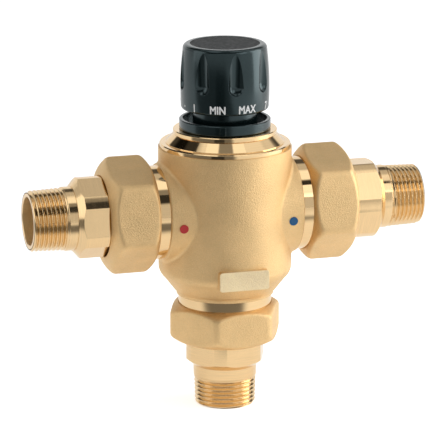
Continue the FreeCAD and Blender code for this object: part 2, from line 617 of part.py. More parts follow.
def knob_side(z):
    """Radius of the knob's gently bellied side at a height."""
    if z < KNOB_BELLY_Z:
        t = (KNOB_BELLY_Z - z) / (KNOB_BELLY_Z - SKIRT_Z)
        return KNOB_BELLY_R - (KNOB_BELLY_R - KNOB_FOOT_R) * t * t
    t = (z - KNOB_BELLY_Z) / (KNOB_TOP - KNOB_BELLY_Z)
    return KNOB_BELLY_R - (KNOB_BELLY_R - KNOB_CROWN_R) * t * t


def flute():
    """A ball-ended cutter that leans out of the knob's side towards the crown."""
    deep_z = FLUTE_FOOT + FLUTE_R * FLUTE_BOWL
    inner = V(0, -(knob_side(deep_z) + FLUTE_R - FLUTE_DEEP), deep_z)
    outer = V(0, -(knob_side(FLUTE_HEAD) + FLUTE_R - FLUTE_SHALLOW), FLUTE_HEAD)
    lean = outer - inner
    cutter = Part.makeCylinder(FLUTE_R, lean.Length * FLUTE_RUN, inner, lean)
    return cutter.fuse(Part.makeSphere(FLUTE_R, inner))


def knob():
    inner = KNOB_BELLY_R - KNOB_WALL
    web = KNOB_TOP - CAP_T - TOP_WEB
    belly = (KNOB_BELLY_Z + KNOB_TOP - CROWN_ROUND) / 2
    waist = (SKIRT_Z + KNOB_BELLY_Z) / 2
    on_arc = 1 - math.cos(math.radians(45))
    skirt, crown = SKIRT_ROUND * on_arc, CROWN_ROUND * on_arc
    shape = turned([
        (0, web), (inner, web), (inner, SKIRT_Z), (KNOB_FOOT_R - SKIRT_ROUND, SKIRT_Z),
        ((KNOB_FOOT_R - skirt, SKIRT_Z + skirt), (knob_side(SKIRT_Z + SKIRT_ROUND), SKIRT_Z + SKIRT_ROUND)),
        ((knob_side(waist), waist), (KNOB_BELLY_R, KNOB_BELLY_Z)),
        ((knob_side(belly), belly), (knob_side(KNOB_TOP - CROWN_ROUND), KNOB_TOP - CROWN_ROUND)),
        ((knob_side(KNOB_TOP) - crown, KNOB_TOP - crown), (knob_side(KNOB_TOP) - CROWN_ROUND, KNOB_TOP)),
        (CAP_R + THREAD_GAP, KNOB_TOP), (CAP_R + THREAD_GAP, KNOB_TOP - CAP_T), (0, KNOB_TOP - CAP_T),
    ])
    shape = shape.fuse(tube(SLEEVE_R, SLEEVE_R - SLEEVE_WALL, SLEEVE_FOOT, web + ROOT_LAP))
    hub_foot = spline_foot() + HUB_CLEAR
    shape = shape.fuse(rod(HUB_TUBE_R, hub_foot, web + ROOT_LAP))
    for cutter in around(flute(), FLUTES, FLUTE_AZ):
        shape = shape.cut(cutter)
    shape = shape.cut(spline(hub_foot - OVERCUT, spline_top(), SLIDE_GAP))
    shape = shape.cut(rod(SCREW_R + SCREW_HOLE_GAP, spline_top() - OVERCUT, KNOB_TOP))
    return shape.cut(rod(SCREW_HEAD_R + PLUG_GAP, spline_top() + SCREW_WEB, KNOB_TOP))


def knob_cap():
    """The bare disc in the knob's top, with the ring that plugs it into the screw's well."""
    under, top = KNOB_TOP - CAP_T, KNOB_TOP - CAP_SINK
    plug = SCREW_HEAD_R + PLUG_GAP
    return turned([
        (0, under), (plug - PLUG_WALL, under), (plug - PLUG_WALL, under - PLUG_LEN), (plug, under - PLUG_LEN),
        (plug, under), (CAP_R, under), (CAP_R, top - CAP_EDGE), (CAP_R - CAP_EDGE, top), (0, top),
    ])


def bonnet_oring():
    return ring(BONNET_THREAD_R - BONNET_SEAL_R, BONNET_SEAL_R, BARREL_TOP - BONNET_SEAL_R)


def nodes():
    """Each sub-part's name with its solid, in the valve's own frame."""
    yield "valve_body", valve_body()
    yield "bonnet", bonnet()
    yield "bonnet_oring", bonnet_oring()
    yield "index_ring", index_ring()
    yield "knob", knob()
    yield "knob_cap", knob_cap()
    yield "knob_screw", knob_screw()
    yield "adjusting_spindle", adjusting_spindle()
    yield "spindle_circlip", spindle_circlip()
    for name, z in zip(("spindle_oring_lower", "spindle_oring_upper"), STEM_RING_Z):
        yield name, ring(STEM_R - STEM_RING_R, STEM_RING_R, z)
    yield "spring_carrier", spring_carrier()
    yield "carrier_ring", carrier_ring()
    yield "pressure_cup", pressure_cup()
    yield "overload_spring", overload_spring()
    yield "element_piston", element_piston()
    yield "thermostatic_element", thermostatic_element()
    yield "shutter", shutter()
    yield "shutter_oring", ring(GUIDE_R - ORING_R, ORING_R, 0)
    yield "lower_seat", lower_seat()
    yield "return_spring", return_spring()
    for port in PORTS:
        yield port + "_union_nut", union_nut(port)
        yield port + "_tailpiece", tailpiece(port)
        yield port + "_gasket", gasket(port)
    for port in ("hot", "cold"):
        yield port + "_mark", dot(port)
        yield port + "_check_body", check_body(port)
        yield port + "_check_poppet", check_poppet(port)
        yield port + "_check_spring", check_spring(port)


def main():
    os.makedirs("parts", exist_ok=True)
    for name, shape in nodes():
        shape.translate(V(0, 0, REACH))
        solid = shape if shape.ShapeType == "Solid" else Part.makeCompound(shape.Solids)
        print(f"{name:24s} solids {len(shape.Solids)} valid {shape.isValid()} volume {shape.Volume:10.1f}")
        solid.exportStep("parts/" + name + ".step")


main()
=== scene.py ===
import json
import math

import bmesh
import bpy
from mathutils import Matrix, Vector
from mathutils.bvhtree import BVHTree

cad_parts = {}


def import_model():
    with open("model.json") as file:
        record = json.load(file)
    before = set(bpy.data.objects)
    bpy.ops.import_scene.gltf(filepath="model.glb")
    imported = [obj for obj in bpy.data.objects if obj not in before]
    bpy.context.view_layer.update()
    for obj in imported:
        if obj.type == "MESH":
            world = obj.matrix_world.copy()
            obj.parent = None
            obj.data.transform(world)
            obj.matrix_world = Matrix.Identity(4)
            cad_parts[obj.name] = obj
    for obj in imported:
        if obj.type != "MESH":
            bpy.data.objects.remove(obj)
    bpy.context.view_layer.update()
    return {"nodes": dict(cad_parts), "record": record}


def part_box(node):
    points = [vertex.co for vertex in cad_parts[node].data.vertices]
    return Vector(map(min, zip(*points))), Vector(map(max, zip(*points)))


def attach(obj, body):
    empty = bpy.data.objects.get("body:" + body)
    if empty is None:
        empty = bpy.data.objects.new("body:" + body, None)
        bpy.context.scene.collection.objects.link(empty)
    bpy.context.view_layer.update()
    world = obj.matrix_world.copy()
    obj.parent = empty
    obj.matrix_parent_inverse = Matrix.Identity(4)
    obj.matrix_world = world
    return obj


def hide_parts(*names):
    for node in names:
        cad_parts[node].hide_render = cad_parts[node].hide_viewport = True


# The dressed model of the mixing valve: metres, in the frame of the CAD model.

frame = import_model()
NODES = frame["nodes"]
MOUNTS = {mount["name"]: mount for mount in frame["record"]["mounts"]}

MM = 0.001
CENTRE = Vector((0.0, 0.0, MOUNTS["hot_inlet"]["pos_m"][2]))   # where the ports' axes meet

# ---- camera ----
VIEW_AZIMUTH, VIEW_ELEVATION = -16.6, 14.3
VIEW_DISTANCE = 1.8
VIEW_WIDTH = 0.2345          # what the picture spans at the valve's axis
AIM_RIGHT, AIM_UP = -2.3 * MM, -7.1 * MM
SENSOR_WIDTH = 36.0

# ---- studio ----
# What metal mirrors: levels of the studio over the tilt, in degrees up from the front horizon over
# the zenith to the horizon behind.
TILT_LEVELS = [(-10, 0.6), (0, 0.7), (30, 0.7), (36, 0.04), (67, 0.04), (72, 1.05), (94, 1.05),
               (100, 0.65), (120, 0.65), (126, 0.1), (143, 0.1), (151, 1.0), (180, 1.0)]
TOP_LEVEL = max(level for _, level in TILT_LEVELS)
# Edges are pairs (nothing yet, all of it); those across and up are sines of the angle.
GAP_LEFT, GAP_RIGHT, GAP_LEVEL = (-0.16, -0.1), (0.2, 0.14), 0.04        # between the two lights overhead
GAP_HIGH, GAP_TILT = (0.8, 0.9), (math.radians(99), math.radians(94))
STRIP_OUT, STRIP_IN, STRIP_LEVEL = (-0.7, -0.66), (-0.5, -0.54), 0.06    # dark edge of the left light
STRIP_HIGH = (0.3, 0.4)
SIDE_LEFT, SIDE_RIGHT = (-0.68, -0.76), (0.6, 0.7)                       # where the side walls begin
LEFT_LEVEL, RIGHT_LEVEL = 0.6, 1.0
DIFFUSE_LEVEL = 0.5                                                      # what dull surfaces receive
FLOOR_HALF_SIZE, FLOOR_ALBEDO, FLOOR_ROUGHNESS = 4.0, 0.9, 0.9
FLOOR_GLOW, GLOSSY_GLOW = 0.6, 0.4                                       # for the camera, and in mirrors
DIM_RIGHT, DIM_FRONT, DIM_LEVEL = (0.27, 0.13), (-0.1, -0.2), 0.26       # metres on the floor
STREAK_LEFT, STREAK_RIGHT = (-26.0, -20.0), (2.0, -3.0)                  # degrees off the line of sight
STREAK_FRONT, STREAK_LEVEL = (-0.3, -0.4), 0.03
LAMPS = {
    # name: (azimuth, elevation, distance, size, watts)
    "key_right": (80.0, 14.0, 0.8, (0.5, 0.7), 3.0),
    "fill_left": (-95.0, 20.0, 1.1, (0.6, 0.8), 1.2),
    "top": (-10.0, 80.0, 1.2, (1.0, 1.0), 0.8),
    "key_front": (34.0, 36.0, 0.43, (0.16, 0.2), 0.14),
}

# ---- colours ----
BRASS = (0.83, 0.585, 0.295)
GOLD = (0.82, 0.585, 0.315)
# a lighter brass colour for the plate on the casting
PLATE_BRASS = (0.97, 0.78, 0.5)
BORE_BRASS = (0.93, 0.72, 0.42)

# ---- unions ----
PORTS = {
    # name: (how the port's frame is turned from +Z up, thread length, plain collar)
    "hot": (Matrix.Rotation(math.radians(-90), 4, "Y"), 18.6 * MM, 4.7 * MM),
    "cold": (Matrix.Rotation(math.radians(90), 4, "Y"), 18.6 * MM, 4.7 * MM),
    "outlet": (Matrix.Rotation(math.radians(180), 4, "X"), 15.7 * MM, 6.3 * MM),
}
SIXTH = math.radians(60)     # from one flat of a hexagon to the next
FULL_TURN = math.radians(360)
PARALLEL = 0.02              # a face whose normal leans less than this along the axis is a flat
EDGE = 0.25 * MM

NUT_AF, NUT_CORNER_R = 55.0 * MM, 4.5 * MM
NUT_CROWN_R = 32.3 * MM
NUT_OUTER_R, NUT_OUTER_TAPER = 22.2 * MM, 6.4 * MM
NUT_INNER_R, NUT_INNER_TAPER = 25.2 * MM, 4.9 * MM
NUT_BULGE, NUT_BULGE_LEAN = 0.9 * MM, 0.6
NUT_SOFT = 1.5 * MM          # how far the cast edges are rounded over
NUT_LIP_T, NUT_LIP_R, NUT_BORE_R, NUT_NECK_R = 5.4 * MM, 21.55 * MM, 23.93 * MM, 24.95 * MM
NUT_NECK_T, NUT_NECK_EDGE = 0.6 * MM, 0.1 * MM
NUT_FLAT_HALF = math.radians(25.0)
NUT_COLUMNS = (22, 10)       # on each flat, round each corner
INNER_STEPS, CROWN_STEPS, OUTER_STEPS = 14, 8, 18
NUT_SMOOTH = 38              # degrees

NECK_LENGTH = 5.6 * MM       # the polished ring of the casting that a nut leaves in sight
PLATE_FRONT = -35.9 * MM     # everything on the casting that lies further forward is the plate

TAIL_AF, TAIL_TURNED_R = 40.0 * MM, 21.4 * MM
TAIL_FLANGE_R, TAIL_FLANGE_T = 22.3 * MM, 3.6 * MM
TAIL_COLUMNS = (16, 8)       # on each flat, round each corner
TAIL_SMOOTH = 14             # degrees
HEX_CHAMFER = 3.3 * MM
COLLAR_R, COLLAR_ROOT, BORE_R = 16.95 * MM, 0.6 * MM, 12.75 * MM
CHECK_RIM_R, CHECK_RIM_T = 14.53 * MM, 1.6 * MM
PIPE_R, PITCH, THREAD_DEPTH = 16.62 * MM, 2.309 * MM, 1.32 * MM
PIPE_TAPER = 1 / 32          # radius lost per length on a taper pipe thread
NOSE_R = PIPE_R - THREAD_DEPTH * 1.12
THREAD_FORM = [(0.0, 1.0), (0.07, 0.96), (0.16, 0.8), (0.38, 0.16), (0.45, 0.02),
               (0.55, 0.02), (0.62, 0.16), (0.84, 0.8), (0.93, 0.96)]      # share of a pitch, of the depth
THREAD_BEFORE, THREAD_SPARE = 1.5, 3                  # turns drawn before the start, and in all besides
THREAD_FADE, CREST_FULL = 0.8 * PITCH, 0.3 * PITCH    # the groove's run-in, the crest's untapered start

# ---- dial ----
PRINT_R = 23.3 * MM
LETTER_H, LETTER_Z = 4.1 * MM, 57.3 * MM
LETTER_PROUD, LETTER_SQUEEZE = 0.05 * MM, 0.82
CAPITAL_SHARE = 0.7          # a capital's height in the font's size
CURVE_STEPS = 6
BOLD, LAYER = 0.19 * MM, 0.004 * MM       # the print is laid on in shifted layers, which makes it bold
BOLD_STEPS = [(-1, 0), (-0.5, 0.7), (-0.5, -0.7), (0.5, 0.7), (0.5, -0.7), (1, 0), (0, 0)]
DOT_R, DOT_SIDES = 0.5 * MM, 20
LAST_NUMBER, FIRST_MARK, MARK_STEP = 7, -60.0, 41.67
MIN_MARK, MAX_MARK = -26.0, 14.0


# ---- shader nodes ----
MIX_FACTOR, FLOAT_OFF, FLOAT_ON, COLOUR_OFF, COLOUR_ON = 0, 2, 3, 6, 7     # a Mix node's sockets
FLOAT_RESULT, COLOUR_RESULT = 0, 2


class Nodes:
    """A tree of shader nodes, with the sums that the finishes and the studio are made of."""

    def __init__(self, tree):
        self.tree = tree

    def node(self, kind, inputs=None, **settings):
        made = self.tree.nodes.new("ShaderNode" + kind)
        for key, value in settings.items():
            setattr(made, key, value)
        for key, value in (inputs or {}).items():
            if isinstance(value, bpy.types.NodeSocket):
                self.tree.links.new(value, made.inputs[key])
            else:
                made.inputs[key].default_value = value
        return made

    def compute(self, operation, *values):
        return self.node("Math", dict(enumerate(values)), operation=operation).outputs[0]

    def product(self, *factors):
        result = factors[0]
        for factor in factors[1:]:
            result = self.compute("MULTIPLY", result, factor)
        return result

    def ramp(self, value, start, end, low=0.0, high=1.0, kind="SMOOTHSTEP"):
        """A value moved from start..end to low..high, and held beyond."""
        return self.node("MapRange", {"Value": value, "From Min": start, "From Max": end,
                                      "To Min": low, "To Max": high}, interpolation_type=kind).outputs[0]

    def mix(self, factor, off, on):
        return self.node("Mix", {MIX_FACTOR: factor, FLOAT_OFF: off, FLOAT_ON: on},
                         data_type="FLOAT").outputs[FLOAT_RESULT]

    def mix_colours(self, factor, off, on):
        return self.node("Mix", {MIX_FACTOR: factor, COLOUR_OFF: off, COLOUR_ON: on},
                         data_type="RGBA").outputs[COLOUR_RESULT]


class Finish(Nodes):
    """One procedural material: its shader and the nodes that feed it."""

    def __init__(self, name, colour, metallic, roughness, **sockets):
        self.material = bpy.data.materials.new(name)
        self.material.use_nodes = True
        super().__init__(self.material.node_tree)
        self.shader = self.tree.nodes["Principled BSDF"]
        self.colour = colour
        self.set("Base Color", (*colour, 1.0))
        self.set("Metallic", metallic)
        self.set("Roughness", roughness)
        for socket, value in sockets.items():
            self.set(socket.replace("_", " "), value)

    def set(self, socket, value):
        self.shader.inputs[socket].default_value = value

    def link(self, out, socket):
        self.tree.links.new(out, self.shader.inputs[socket])

    def noise(self, scale, detail=3.0, stretch=(1.0, 1.0, 1.0), rough=0.5):
        """Noise over the piece's own coordinates in metres, stretched along its axes."""
        coords = self.node("TexCoord").outputs["Object"]
        place = self.node("Mapping", {"Vector": coords, "Scale": stretch}).outputs["Vector"]
        return self.node("TexNoise", {"Vector": place, "Scale": scale, "Detail": detail,
                                      "Roughness": rough}).outputs["Fac"]

    def spread(self, noise, low, high, start=0.3, end=0.7):
        """A noise moved from the stretch where it mostly lies to low..high."""
        return self.ramp(noise, start, end, low, high, "LINEAR")

    def spread_sum(self, one, other, low, high):
        return self.spread(self.compute("ADD", one, other), low, high, 0.7, 1.3)

    def shade(self, share, darkest, lightest):
        """The base colour, darker or lighter by a share."""
        dark = (*[c * darkest for c in self.colour], 1.0)
        light = (*[min(c * lightest, 1.0) for c in self.colour], 1.0)
        self.link(self.mix_colours(share, dark, light), "Base Color")

    def bump(self, heights, soften=0.0):
        """Bumps, each (height, strength, depth in metres), over edges rounded by soften."""
        normal = None
        if soften:
            normal = self.node("Bevel", {"Radius": soften}, samples=4).outputs["Normal"]
        for height, strength, depth in heights:
            bump = self.node("Bump", {"Height": height, "Strength": strength, "Distance": depth})
            if normal:
                self.tree.links.new(normal, bump.inputs["Normal"])
            normal = bump.outputs["Normal"]
        self.link(normal, "Normal")


# ---- finishes ----
def cast_brass(name, colour):
    f = Finish(name, colour, 1.0, 0.5)
    grain = f.noise(1900.0, 3.0, rough=0.6)
    pits = f.noise(800.0, 2.0)
    clouds = f.noise(60.0, 3.0)
    f.shade(f.spread_sum(grain, clouds, 0, 1), 0.88, 1.08)
    f.link(f.spread(pits, 0.44, 0.56), "Roughness")
    f.bump([(grain, 1.0, 0.0003), (pits, 0.3, 0.0003)], soften=0.6 * MM)
    return f.material


def turned_brass(name, stretch):
    """Satin brass with fine tool lines that run across the given stretched axes."""
    f = Finish(name, GOLD, 1.0, 0.14)
    lines = f.noise(1.0, 2.0, stretch)
    clouds = f.noise(90.0, 2.0)
    f.shade(f.spread(lines, 0, 1), 0.9, 1.04)
    f.link(f.spread_sum(lines, clouds, 0.09, 0.18), "Roughness")
    f.bump([(lines, 0.12, 0.00005)], soften=0.2 * MM)
    return f.material


def polished_brass():
    roughness = 0.045
    f = Finish("polished_brass", GOLD, 1.0, roughness)
    lines = f.noise(1.0, 2.0, (60.0, 60.0, 9000.0))
    f.shade(f.spread(lines, 0, 1), 0.95, 1.02)
    f.link(f.spread(lines, roughness * 0.8, roughness * 1.6), "Roughness")
    f.bump([(lines, 0.06, 0.00003)], soften=0.15 * MM)
    return f.material


def black_plastic():
    f = Finish("black_gloss", (0.003, 0.0075, 0.008), 0.0, 0.12, IOR=1.6,
               Specular_Tint=(0.72, 0.96, 1.0, 1.0))
    ripple = f.noise(260.0, 2.0)
    f.link(f.spread(f.noise(900.0, 3.0), 0.14, 0.2), "Roughness")
    f.bump([(ripple, 0.03, 0.0002)], soften=0.35 * MM)
    return f.material


def plain(name, colour, metallic, roughness, scale=900.0, depth=0.00005, strength=0.2, **sockets):
    """Small fittings: an even colour with a fine surface."""
    f = Finish(name, colour, metallic, roughness, **sockets)
    grain = f.noise(scale, 3.0)
    f.shade(f.spread(grain, 0, 1), 0.9, 1.06)
    f.link(f.spread(grain, roughness * 0.85, min(roughness * 1.15, 1.0)), "Roughness")
    f.bump([(grain, strength, depth)])
    return f.material


def enamel(name, colour):
    f = Finish(name, colour, 0.0, 0.25, Coat_Weight=0.6, Coat_Roughness=0.1)
    grain = f.noise(1800.0, 2.0)
    f.shade(f.spread(grain, 0, 1), 0.92, 1.05)
    f.bump([(grain, 0.1, 0.00005)])
    return f.material


ACROSS_X = (7000.0, 90.0, 90.0)
ACROSS_Z = (90.0, 90.0, 7000.0)
FINISHES = {
    "cast_brass": cast_brass("sandblasted_brass", BRASS),
    "plate_brass": cast_brass("lighter_plate_brass", PLATE_BRASS),
    "bore_brass": plain("bored_brass", BORE_BRASS, 1.0, 0.5, 1500.0),
    "turned_x": turned_brass("machined_brass_x", ACROSS_X),
    "turned_z": turned_brass("machined_brass_z", ACROSS_Z),
    "polished_brass": polished_brass(),
    "black_gloss": black_plastic(),
    "black_satin": plain("black_satin", (0.006, 0.009, 0.01), 0.0, 0.5, 700.0, strength=0.05,
                         Specular_IOR_Level=0.12),
    "steel": plain("stainless_steel", (0.6, 0.59, 0.57), 1.0, 0.25),
    "seal_rubber": plain("seal_rubber", (0.02, 0.02, 0.02), 0.0, 0.6),
    "gasket_fibre": plain("gasket_fibre", (0.05, 0.1, 0.08), 0.0, 0.8, 500.0, 0.0001, 0.5),
    "polymer": plain("white_polymer", (0.62, 0.6, 0.54), 0.0, 0.45),
    "copper_bulb": plain("copper", (0.72, 0.36, 0.2), 1.0, 0.28),
    "red_mark": enamel("red_enamel", (0.56, 0.03, 0.03)),
    "blue_mark": enamel("blue_enamel", (0.001, 0.1, 0.27)),
    "marking_white": plain("dial_white", (0.85, 0.86, 0.86), 0.0, 0.4),
}


def finish_of(slot):
    return FINISHES["turned_z" if slot == "turned_brass" else slot]


def dress_cad():
    """Every CAD node gets the finish of its slot in the record; the cap's disc is duller."""
    for part in frame["record"]["subparts"]:
        node = NODES[part["node"]]
        node.data.materials.clear()
        node.data.materials.append(finish_of(part["material_slot"]))
    NODES["knob_cap"].data.materials[0] = FINISHES["black_satin"]


def finish_casting():
    """The ring between the casting and each union nut is polished; the plate gets a lighter brass colour
    than the rest of the casting.
    """
    body = NODES["valve_body"].data
    body.materials.append(FINISHES["polished_brass"])
    body.materials.append(FINISHES["plate_brass"])
    polished, plate = 1, 2
    # the plate, forward of PLATE_FRONT, gets a lighter brass colour than the rest of the casting
    for face in body.polygons:
        if face.center.y < PLATE_FRONT:
            face.material_index = plate
    for port in PORTS:
        back = port_matrix(port).inverted()
        nut_start = span(port + "_union_nut", port)[0]
        for face in body.polygons:
            at = back @ face.center
            off_axis = math.hypot(at.x, at.y)
            if at.z > nut_start - NECK_LENGTH and off_axis < NUT_NECK_R + NUT_NECK_EDGE:
                face.material_index = polished


# ---- meshes about a port's axis ----
def port_matrix(port):
    return Matrix.Translation(CENTRE) @ PORTS[port][0]


def span(node, port):
    """Distances from the valve centre to a node's near and far end, along the port."""
    back = port_matrix(port).inverted()
    ends = [(back @ corner).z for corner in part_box(node)]
    return min(ends), max(ends)


def flats_turn(node, port):
    """Angle of a hexagon's first flat about the port's axis, read from the node's faces."""
    back = PORTS[port][0].to_3x3().inverted()
    wave_x = wave_y = 0.0
    for face in NODES[node].data.polygons:
        normal = back @ face.normal
        if abs(normal.z) < PARALLEL:
            angle = 6 * math.atan2(normal.y, normal.x)
            wave_x += face.area * math.cos(angle)
            wave_y += face.area * math.sin(angle)
    return math.atan2(wave_y, wave_x) / 6


def sector_angles(edge, columns, turn):
    """Column angles round six flats: each flat reaches edge to either side of its middle."""
    on_flat, on_corner = columns
    gap = SIXTH - 2 * edge
    angles = []
    for flat in range(6):
        middle = turn + flat * SIXTH
        angles += [middle - edge + 2 * edge * i / on_flat for i in range(on_flat)]
        angles += [middle + edge + gap * i / on_corner for i in range(on_corner)]
    return angles


def off_flat(angle, turn):
    """Angle to the nearest flat's middle."""
    return (angle - turn + SIXTH / 2) % SIXTH - SIXTH / 2


def on_circle(bm, radius, angle, z):
    return bm.verts.new((radius * math.cos(angle), radius * math.sin(angle), z))


def lathe(bm, angles, profile, closed=False):
    """Turn a profile of (radius, z) steps, each a number or a function of the angle."""
    rows = []
    for radius, z in profile:
        rows.append([on_circle(bm, radius(angle) if callable(radius) else radius, angle,
                               z(angle) if callable(z) else z) for angle in angles])
    count = len(angles)
    for near, far in zip(rows, rows[1:] + (rows[:1] if closed else [])):
        for i in range(count):
            j = (i + 1) % count
            bm.faces.new((near[i], near[j], far[j], far[i]))


def finish_mesh(name, bm, matrix, material, smooth_deg):
    """A closed, outward-facing mesh object from a bmesh drawn along a port's axis."""
    bmesh.ops.remove_doubles(bm, verts=bm.verts, dist=1e-7)
    bmesh.ops.dissolve_degenerate(bm, edges=bm.edges, dist=1e-7)
    bmesh.ops.recalc_face_normals(bm, faces=bm.faces)
    bm.transform(matrix)
    mesh = new_mesh(name, bm)
    mesh.shade_smooth()
    mesh.set_sharp_from_angle(angle=math.radians(smooth_deg))
    mesh.materials.append(material)
    return put(name, mesh)


def new_mesh(name, bm):
    mesh = bpy.data.meshes.new(name)
    bm.to_mesh(mesh)
    bm.free()
    return mesh


def put(name, data):
    made = bpy.data.objects.new(name, data)
    bpy.context.scene.collection.objects.link(made)
    return made


# ---- tailpieces ----
def helical_thread(bm, angles, start, end):
    """A taper thread between two planes, faded in at its start and chamfered at its end."""
    turns = int((end - start) / PITCH) + THREAD_SPARE

    def vertex(turn, share, depth, angle):
        z = start + PITCH * (turn - THREAD_BEFORE + share + (angle - angles[0]) / FULL_TURN)
        z = min(max(z, start), end)
        run_in = min((z - start) / THREAD_FADE, 1.0)
        crest = min(PIPE_R, PIPE_R - PIPE_TAPER * (z - start - CREST_FULL))
        radius = min(crest - THREAD_DEPTH * depth * run_in, NOSE_R + (end - z))
        return on_circle(bm, radius, angle, z)

    columns = [[vertex(turn, share, depth, angle) for turn in range(turns) for share, depth in THREAD_FORM]
               for angle in angles + [angles[0] + FULL_TURN]]
    for near, far in zip(columns, columns[1:]):
        for i in range(len(near) - 1):
            bm.faces.new((near[i], far[i], far[i + 1], near[i + 1]))


def tailpiece(port):
    node = port + "_tailpiece"
    face, end = span(node, port)
    _, thread_length, collar_length = PORTS[port]
    thread_start = end - thread_length
    hex_end = thread_start - collar_length
    hex_start = face + TAIL_FLANGE_T
    foot_r = COLLAR_R + COLLAR_ROOT
    turn = flats_turn(node, port)
    angles = sector_angles(math.acos(TAIL_AF / 2 / TAIL_TURNED_R), TAIL_COLUMNS, turn)

    def side(angle):
        return min(TAIL_AF / 2 / math.cos(off_flat(angle, turn)), TAIL_TURNED_R)

    def shoulder(angle):
        return hex_end - HEX_CHAMFER * (side(angle) - foot_r) / (TAIL_TURNED_R - foot_r)

    # The inlets' mouths are widened for the rim of the check valve.
    recess = [] if port == "outlet" else [(BORE_R, face + CHECK_RIM_T), (CHECK_RIM_R, face + CHECK_RIM_T)]
    outside = recess + [
        (CHECK_RIM_R if recess else BORE_R, face), (TAIL_FLANGE_R - EDGE, face),
        (TAIL_FLANGE_R, face + EDGE), (TAIL_FLANGE_R, hex_start), (side, hex_start), (side, shoulder),
        (foot_r, hex_end), (COLLAR_R, hex_end), (COLLAR_R, thread_start - EDGE),
        (COLLAR_R - EDGE, thread_start), (PIPE_R, thread_start),
    ]
    bm = bmesh.new()
    lathe(bm, angles, outside)
    lathe(bm, angles, [(NOSE_R, end), (BORE_R + EDGE, end), (BORE_R, end - EDGE), outside[0]])
    helical_thread(bm, angles, thread_start, end)
    material = FINISHES["turned_z" if port == "outlet" else "turned_x"]
    piece = finish_mesh(port + "_threaded_tail", bm, port_matrix(port), material, TAIL_SMOOTH)

    piece.data.materials.append(FINISHES["bore_brass"])
    back = port_matrix(port).inverted()
    for polygon in piece.data.polygons:
        at = back @ polygon.center
        if math.hypot(at.x, at.y) < BORE_R and at.z < end - EDGE:
            polygon.material_index = 1
    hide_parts(node)
    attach(piece, "housing")


# ---- union nuts ----
def soft_min(a, b, soft):
    blend = max(soft - abs(a - b), 0.0) / soft
    return min(a, b) - blend * blend * soft / 4


def arc(start, middle, end, steps):
    """Points on the curve that leaves start, passes near middle and reaches end."""
    bend = [2 * m - (s + e) / 2 for s, m, e in zip(start, middle, end)]
    return [tuple((1 - i / steps) ** 2 * s + 2 * (i / steps) * (1 - i / steps) * b + (i / steps) ** 2 * e
                  for s, b, e in zip(start, bend, end)) for i in range(steps + 1)]


def rounded_hexagon(angle, turn):
    """Distance from the axis to the side of a hexagon whose corners are rounded."""
    off = abs(off_flat(angle, turn))
    from_corner = SIXTH / 2 - off
    hub = (NUT_AF / 2 - NUT_CORNER_R) / math.cos(SIXTH / 2)
    reach = hub * math.sin(from_corner)
    on_arc = hub * math.cos(from_corner) + math.sqrt(max(NUT_CORNER_R ** 2 - reach ** 2, 0.0))
    tangent = math.atan2(NUT_CORNER_R / 2, hub + NUT_CORNER_R * math.cos(SIXTH / 2))
    return on_arc if from_corner < tangent else NUT_AF / 2 / math.cos(off)


def union_nut(port):
    node = port + "_union_nut"
    start, end = span(node, port)
    turn = flats_turn(node, port)
    angles = sector_angles(NUT_FLAT_HALF, NUT_COLUMNS, turn)
    crown_start, crown_end = start + NUT_INNER_TAPER, end - NUT_OUTER_TAPER

    # The crown caps the hexagon: two bulging tapers with a straight stretch between them.
    crown = arc((NUT_INNER_R, start),
                ((NUT_INNER_R + NUT_CROWN_R) / 2 + NUT_BULGE / 2, (start + crown_start) / 2 - NUT_BULGE / 2),
                (NUT_CROWN_R, crown_start), INNER_STEPS)
    crown += [(NUT_CROWN_R, crown_start + (crown_end - crown_start) * i / CROWN_STEPS)
              for i in range(1, CROWN_STEPS)]
    crown += arc((NUT_CROWN_R, crown_end),
                 ((NUT_OUTER_R + NUT_CROWN_R) / 2 + NUT_BULGE,
                  (crown_end + end) / 2 + NUT_BULGE * NUT_BULGE_LEAN),
                 (NUT_OUTER_R, end), OUTER_STEPS)

    def side(limit):
        return lambda angle: soft_min(rounded_hexagon(angle, turn), limit, NUT_SOFT)

    profile = [
        (NUT_LIP_R, end - NUT_LIP_T), (NUT_BORE_R, end - NUT_LIP_T), (NUT_BORE_R, start + NUT_NECK_T),
        (NUT_NECK_R, start + NUT_NECK_T), (NUT_NECK_R, start + NUT_NECK_EDGE),
        (NUT_NECK_R + NUT_NECK_EDGE, start),
    ]
    profile += [(side(radius), z) for radius, z in crown]
    profile += [(NUT_LIP_R + EDGE, end), (NUT_LIP_R, end - EDGE)]
    bm = bmesh.new()
    lathe(bm, angles, profile, closed=True)
    piece = finish_mesh(port + "_cast_nut", bm, port_matrix(port), FINISHES["cast_brass"], NUT_SMOOTH)
    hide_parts(node)
    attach(piece, "housing")


# ---- printed dial ----
def surface_of(node):
    mesh = NODES[node].data
    return BVHTree.FromPolygons([v.co for v in mesh.vertices], [p.vertices for p in mesh.polygons])


KNOB_SURFACE = surface_of("knob")


def print_on_knob(name, text, azimuth):
    """White characters laid on the knob's skirt; azimuth runs from -Y towards +X."""
    curve = bpy.data.curves.new(name, "FONT")
    curve.body = text
    curve.size = LETTER_H / CAPITAL_SHARE
    curve.align_x = "CENTER"
    curve.align_y = "CENTER"
    curve.resolution_u = CURVE_STEPS
    flat = put(name + "_flat", curve)
    bpy.context.view_layer.update()
    thin = bpy.data.meshes.new_from_object(flat.evaluated_get(bpy.context.evaluated_depsgraph_get()))
    bpy.data.objects.remove(flat)
    bm = bmesh.new()
    for copy, (right, up) in enumerate(BOLD_STEPS):
        known = len(bm.verts)
        bm.from_mesh(thin)
        bm.verts.ensure_lookup_table()
        for vertex in bm.verts[known:]:
            vertex.co += Vector((right * BOLD, up * BOLD, copy * LAYER))
    bpy.data.meshes.remove(thin)
    wrap_on_knob(name, new_mesh(name, bm), azimuth, LETTER_SQUEEZE)


